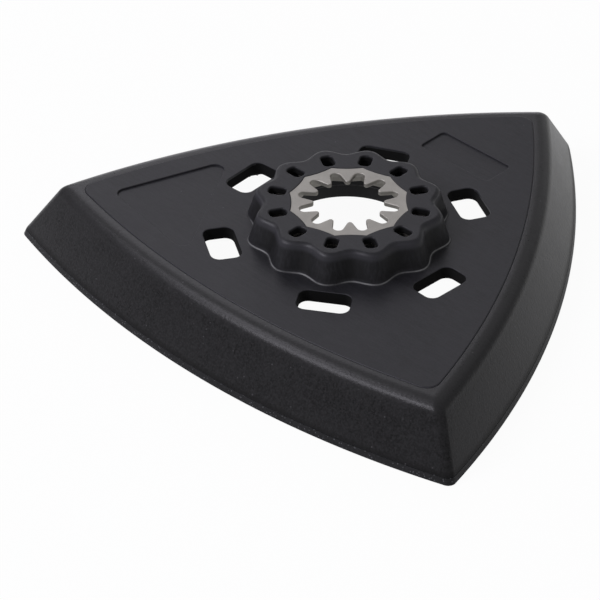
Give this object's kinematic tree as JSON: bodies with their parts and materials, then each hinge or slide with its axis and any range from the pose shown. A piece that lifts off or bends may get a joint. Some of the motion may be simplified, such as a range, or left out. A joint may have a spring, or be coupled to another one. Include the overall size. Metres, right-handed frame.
{
  "type": "triangular sanding pad",
  "caption": "Triangular sanding pad with bulged sides, a raised scalloped hub holding a steel star drive ring, and dust slots around it, for an oscillating multi tool.",
  "frame": {"origin": "on the drive axis, level with the top of the hub, where the tool's spindle seats", "axes": "+Z along the drive axis, from the working face up to the hub; +Y from the axis to one corner"},
  "size_m": [0.0926, 0.0873, 0.0157],
  "materials": {
    "ring_steel": "blasted satin sheet steel",
    "hard_plastic": "satin moulded black",
    "soft_body": "matte, fine grain",
    "hook_sheet": "moulded nylon hooks, matte"
  },
  "bodies": {
    "root": {"drive_ring": "ring_steel", "carrier_plate": "hard_plastic", "pad_body": "soft_body", "hook_facing": "hook_sheet"}
  },
  "joints": []
}
